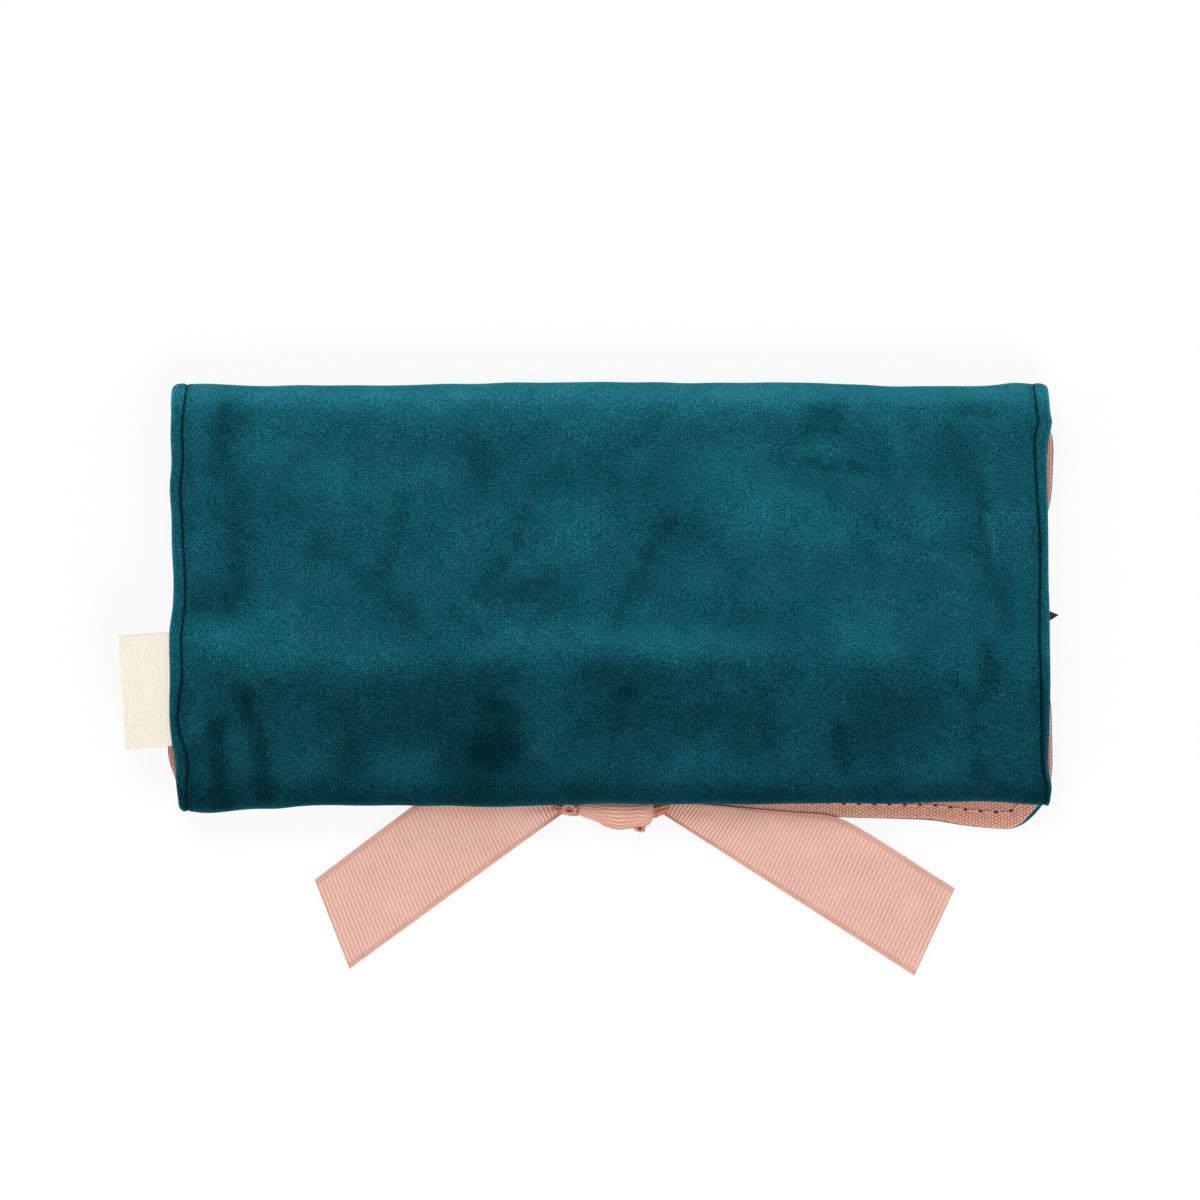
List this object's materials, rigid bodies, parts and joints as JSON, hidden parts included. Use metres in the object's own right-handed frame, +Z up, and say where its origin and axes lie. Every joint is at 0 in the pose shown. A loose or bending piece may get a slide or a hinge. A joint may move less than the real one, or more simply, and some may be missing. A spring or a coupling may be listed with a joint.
{
  "type": "jewelry roll",
  "caption": "Padded velvet jewelry roll folded in three, with canvas lining, ring bar, zip pocket, slip pocket, side label and a knotted ribbon tie.",
  "frame": {"origin": "middle of the flap's underside, which rests on the table when the roll is folded", "axes": "+X along the roll towards the zip pull, +Y from the tied edge towards the top fold, +Z up out of the back panel"},
  "size_m": [0.2262, 0.1418, 0.0184],
  "materials": {
    "velvet": "teal velvet with a short soft nap",
    "wadding": "soft white wadding",
    "canvas": "dusty rose plain-weave canvas",
    "ribbon": "pale rose grosgrain ribbon with fine cross ribs",
    "label": "bare cream woven cotton tape",
    "tape": "black woven zip tape",
    "leather": "smooth black leather",
    "brass": "light polished brass"
  },
  "bodies": {
    "flap": {"flap_velvet": "velvet", "flap_wadding": "wadding", "flap_lining": "canvas", "ring_bar_anchor": "canvas", "press_stud_base": "brass", "tie_knot_wrap": "ribbon", "tie_knot_core": "ribbon", "flap_tie_root": "ribbon", "inner_tie_lead": "ribbon"},
    "top_fold": {"top_fold_velvet": "velvet", "top_fold_wadding": "wadding", "top_fold_lining": "canvas"},
    "back": {"back_velvet": "velvet", "back_wadding": "wadding", "back_lining": "canvas", "side_label": "label", "pocket_upper_panel": "canvas", "pocket_lower_panel": "canvas", "zip_tape_upper": "tape", "zip_tape_lower": "tape", "zip_teeth_upper": "brass", "zip_teeth_lower": "brass", "zip_top_stop_upper": "brass", "zip_top_stop_lower": "brass", "zip_bottom_stop": "brass"},
    "bottom_fold": {"bottom_fold_velvet": "velvet", "bottom_fold_wadding": "wadding", "bottom_fold_lining": "canvas"},
    "inner_panel": {"inner_velvet": "velvet", "inner_wadding": "wadding", "inner_lining": "canvas", "inner_slip_pocket": "canvas", "inner_tie_root": "ribbon"},
    "ring_bar": {"ring_bar_cover": "velvet", "ring_bar_filling": "wadding", "ring_bar_tab": "velvet", "ring_bar_strap": "canvas", "press_stud_socket": "brass", "press_stud_cap": "brass"},
    "zip_slider": {"zip_slider": "brass"},
    "zip_pull": {"zip_pull_ring": "brass", "zip_pull_tag": "leather"},
    "left_tail": {"left_ribbon_tail": "ribbon"},
    "right_tail": {"right_ribbon_tail": "ribbon"}
  },
  "joints": [
    {"name": "roll_opening", "type": "hinge", "parent": "flap", "child": "top_fold", "pos_m": [0, 0.04852, 0.00198], "axis": [-1, 0, 0], "range_deg": [0, 90]},
    {"name": "top_fold_to_back", "type": "hinge", "parent": "top_fold", "child": "back", "pos_m": [0, 0.04852, 0.01642], "axis": [-1, 0, 0], "range_deg": [0, 90]},
    {"name": "back_to_bottom_fold", "type": "hinge", "parent": "back", "child": "bottom_fold", "pos_m": [0, -0.04896, 0.01686], "axis": [-1, 0, 0], "range_deg": [0, 90]},
    {"name": "bottom_fold_to_inner_panel", "type": "hinge", "parent": "bottom_fold", "child": "inner_panel", "pos_m": [0, -0.04896, 0.00564], "axis": [-1, 0, 0], "range_deg": [0, 90]},
    {"name": "ring_bar_lift", "type": "hinge", "parent": "flap", "child": "ring_bar", "pos_m": [-0.0571, 0.006, 0.0036], "axis": [0, -1, 0], "range_deg": [0, 54]},
    {"name": "zip_slide", "type": "slide", "parent": "back", "child": "zip_slider", "axis": [-1, 0, 0], "range_m": [0, 0.178]},
    {"name": "zip_pull_swing", "type": "hinge", "parent": "zip_slider", "child": "zip_pull", "pos_m": [0.0919, -0.0052, 0.01155], "axis": [0, 0, 1], "range_deg": [-20, 20]},
    {"name": "left_tail_swing", "type": "hinge", "parent": "flap", "child": "left_tail", "pos_m": [-0.0113, -0.0532, 0.004], "axis": [0, 0, 1], "range_deg": [0, 25]},
    {"name": "right_tail_swing", "type": "hinge", "parent": "flap", "child": "right_tail", "pos_m": [0.0137, -0.0532, 0.004], "axis": [0, 0, -1], "range_deg": [0, 25]}
  ],
  "couplings": [
    {"joint": "top_fold_to_back", "follows": "roll_opening", "ratio": 1},
    {"joint": "back_to_bottom_fold", "follows": "roll_opening", "ratio": 1},
    {"joint": "bottom_fold_to_inner_panel", "follows": "roll_opening", "ratio": 1},
    {"joint": "ring_bar_lift", "follows": "roll_opening", "ratio": 0.6}
  ]
}
